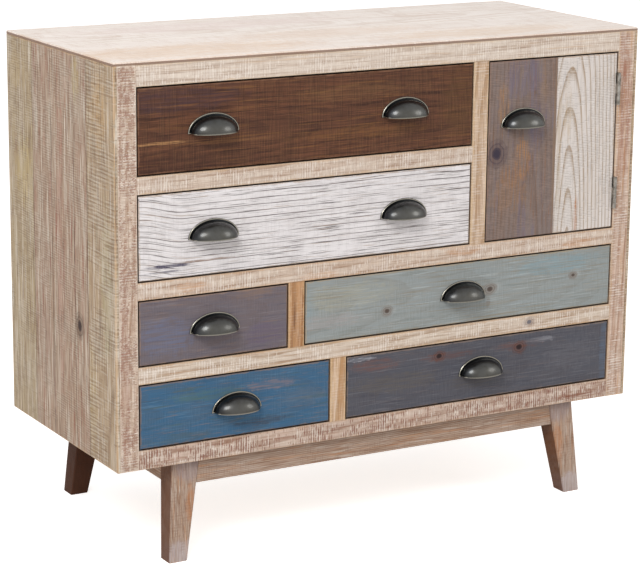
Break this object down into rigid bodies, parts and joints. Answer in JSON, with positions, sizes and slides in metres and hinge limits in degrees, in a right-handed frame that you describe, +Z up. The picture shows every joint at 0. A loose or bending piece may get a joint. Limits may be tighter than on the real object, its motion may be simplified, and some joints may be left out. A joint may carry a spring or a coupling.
{
  "type": "sideboard",
  "caption": "Floor-standing sideboard of reclaimed pine: drawers of several sizes and colours and a hinged cupboard door in one face frame, on splayed tapered legs.",
  "frame": {"origin": "on the floor, in the middle of the overall width and depth with the pulls", "axes": "+X to the right seen from the front, +Y to the back, +Z up"},
  "size_m": [0.9, 0.4124, 0.746],
  "materials": {
    "top_board": "whitewashed, waxed, visible grain",
    "side_board": "rough sawn, slanting saw marks",
    "whitewashed_frame": "rough sawn and whitewashed",
    "bare_upright": "bare reclaimed pine, waxed",
    "inner_pine": "planed pine, bare",
    "plywood": "bare plywood",
    "leg_wood": "grey-washed, worn to bare wood in the middle",
    "brown_front": "dark walnut stain, worn edges",
    "white_front": "distressed white paint, grey grain",
    "taupe_front": "mauve grey paint",
    "sage_front": "grey green paint, small knots",
    "blue_front": "blue paint, rusty worn edges",
    "slate_front": "dark slate paint, knots, brown wear",
    "door_taupe_board": "grey brown paint, worn patches",
    "door_pale_board": "whitewashed, cathedral grain",
    "pull_bronze": "antique dark bronze, polished rims",
    "hinge_steel": "dull plated",
    "catch_plastic": "moulded plastic"
  },
  "bodies": {
    "case": {"top_panel": "top_board", "left_side_panel": "side_board", "right_side_panel": "side_board", "bottom_panel": "inner_pine", "back_panel": "plywood", "left_stile": "whitewashed_frame", "right_stile": "whitewashed_frame", "top_rail": "whitewashed_frame", "upper_rail": "whitewashed_frame", "middle_rail": "whitewashed_frame", "lower_rail": "whitewashed_frame", "bottom_rail": "whitewashed_frame", "centre_upright": "bare_upright", "row_three_upright": "bare_upright", "row_four_upright": "bare_upright", "partition": "inner_pine", "compartment_floor": "inner_pine", "side_runners": "inner_pine", "centre_runners": "inner_pine", "rear_rails": "inner_pine", "front_apron": "leg_wood", "rear_apron": "leg_wood", "side_aprons": "leg_wood", "front_left_leg": "leg_wood", "front_right_leg": "leg_wood", "rear_left_leg": "leg_wood", "rear_right_leg": "leg_wood", "hinge_case_leaves": "hinge_steel", "hinge_pins": "hinge_steel", "magnetic_catch": "catch_plastic"},
    "door": {"door_left_board": "door_taupe_board", "door_right_board": "door_pale_board", "door_battens": "inner_pine", "door_pull": "pull_bronze", "hinge_door_leaves": "hinge_steel", "strike_plate": "hinge_steel"},
    "brown_drawer": {"brown_drawer_front": "brown_front", "brown_drawer_box": "inner_pine", "brown_drawer_bottom": "plywood", "brown_drawer_pulls": "pull_bronze"},
    "white_drawer": {"white_drawer_front": "white_front", "white_drawer_box": "inner_pine", "white_drawer_bottom": "plywood", "white_drawer_pulls": "pull_bronze"},
    "taupe_drawer": {"taupe_drawer_front": "taupe_front", "taupe_drawer_box": "inner_pine", "taupe_drawer_bottom": "plywood", "taupe_drawer_pull": "pull_bronze"},
    "sage_drawer": {"sage_drawer_front": "sage_front", "sage_drawer_box": "inner_pine", "sage_drawer_bottom": "plywood", "sage_drawer_pull": "pull_bronze"},
    "blue_drawer": {"blue_drawer_front": "blue_front", "blue_drawer_box": "inner_pine", "blue_drawer_bottom": "plywood", "blue_drawer_pull": "pull_bronze"},
    "slate_drawer": {"slate_drawer_front": "slate_front", "slate_drawer_box": "inner_pine", "slate_drawer_bottom": "plywood", "slate_drawer_pull": "pull_bronze"}
  },
  "joints": [
    {"name": "brown_drawer_slide", "type": "slide", "parent": "case", "child": "brown_drawer", "axis": [0, -1, 0], "range_m": [0, 0.25]},
    {"name": "white_drawer_slide", "type": "slide", "parent": "case", "child": "white_drawer", "axis": [0, -1, 0], "range_m": [0, 0.25]},
    {"name": "taupe_drawer_slide", "type": "slide", "parent": "case", "child": "taupe_drawer", "axis": [0, -1, 0], "range_m": [0, 0.25]},
    {"name": "sage_drawer_slide", "type": "slide", "parent": "case", "child": "sage_drawer", "axis": [0, -1, 0], "range_m": [0, 0.25]},
    {"name": "blue_drawer_slide", "type": "slide", "parent": "case", "child": "blue_drawer", "axis": [0, -1, 0], "range_m": [0, 0.25]},
    {"name": "slate_drawer_slide", "type": "slide", "parent": "case", "child": "slate_drawer", "axis": [0, -1, 0], "range_m": [0, 0.25]},
    {"name": "door_hinge", "type": "hinge", "parent": "case", "child": "door", "pos_m": [0.41375, -0.1844, 0.56925], "axis": [0, 0, 1], "range_deg": [0, 110]}
  ]
}
